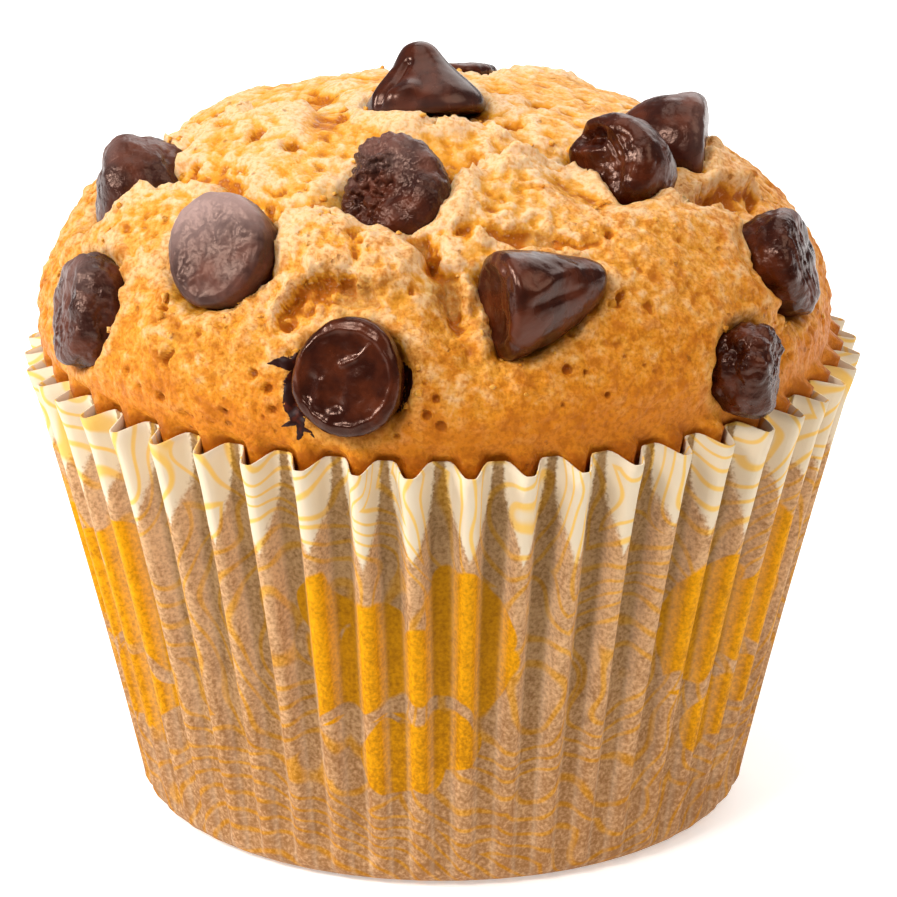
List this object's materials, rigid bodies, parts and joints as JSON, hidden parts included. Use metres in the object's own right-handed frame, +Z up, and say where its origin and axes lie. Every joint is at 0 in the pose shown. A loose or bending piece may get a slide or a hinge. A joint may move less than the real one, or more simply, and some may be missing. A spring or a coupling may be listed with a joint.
{
  "type": "muffin",
  "caption": "Chocolate chip muffin with a cracked golden domed top, in a pleated paper baking case that widens to its rim.",
  "frame": {"origin": "middle of the paper case's flat underside", "axes": "+Z up through the crown, -Y towards the side with the cracked lumps and the large smooth lobe"},
  "size_m": [0.0674, 0.0674, 0.0628],
  "materials": {
    "crust": "baked golden crumb, dry and open-pored",
    "paper": "greaseproof paper, fat-soaked below and dry at the rim, with a printed line pattern",
    "chocolate": "dark chocolate, satin with a light bloom"
  },
  "bodies": {
    "root": {"cake": "crust", "paper_case": "paper", "chip_01": "chocolate", "chip_02": "chocolate", "chip_03": "chocolate", "chip_04": "chocolate", "chip_05": "chocolate", "chip_06": "chocolate", "chip_07": "chocolate", "chip_08": "chocolate", "chip_09": "chocolate", "chip_10": "chocolate", "chip_11": "chocolate", "chip_12": "chocolate", "chip_13": "chocolate", "chip_14": "chocolate", "chip_15": "chocolate", "chip_16": "chocolate", "chip_17": "chocolate"}
  },
  "joints": []
}
